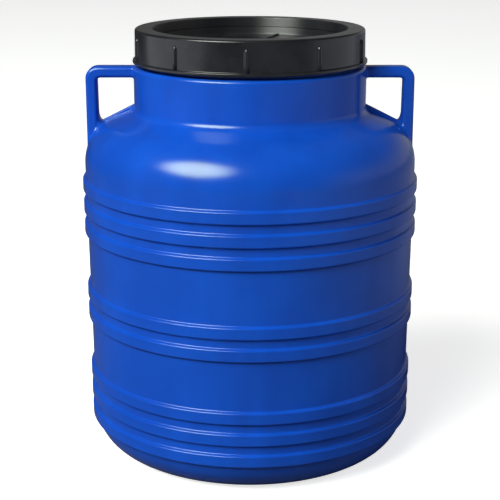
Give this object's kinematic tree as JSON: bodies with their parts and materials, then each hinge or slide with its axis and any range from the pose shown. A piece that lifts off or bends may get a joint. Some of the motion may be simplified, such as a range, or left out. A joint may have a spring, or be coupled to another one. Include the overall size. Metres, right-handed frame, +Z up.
{
  "type": "open head drum",
  "caption": "Round wide-neck plastic drum with hooped walls, moulded side handles, and a screw ring that holds a dished inner cover on a gasket.",
  "frame": {"origin": "centre of the drum axis at the floor, on the plane of the foot ring", "axes": "+Z up along the drum axis, X through both handles, and -Y towards a viewer who has one handle on each side"},
  "size_m": [0.3794, 0.3794, 0.484],
  "materials": {
    "drum_plastic": "blow-moulded polyethylene, cobalt blue, satin gloss",
    "lid_plastic": "injection-moulded polypropylene, black, satin",
    "gasket_rubber": "soft EPDM, matt dark grey"
  },
  "bodies": {
    "drum": {"drum_shell": "drum_plastic", "threaded_neck": "drum_plastic", "handle_left": "drum_plastic", "handle_right": "drum_plastic"},
    "gasket": {"gasket": "gasket_rubber"},
    "cover": {"inner_cover": "lid_plastic"},
    "ring": {"screw_ring": "lid_plastic"}
  },
  "joints": [
    {"name": "lid_lift_off", "type": "slide", "parent": "drum", "child": "gasket", "axis": [0, 0, 1], "range_m": [0, 0.2]},
    {"name": "cover_rise", "type": "slide", "parent": "gasket", "child": "cover", "axis": [0, 0, 1], "range_m": [0, 0.008]},
    {"name": "ring_turn", "type": "hinge", "parent": "cover", "child": "ring", "pos_m": [0, 0, 0.465], "axis": [0, 0, 1], "range_deg": [0, 360]}
  ],
  "couplings": [
    {"joint": "cover_rise", "follows": "ring_turn", "m_per_rad": 0.001273}
  ]
}
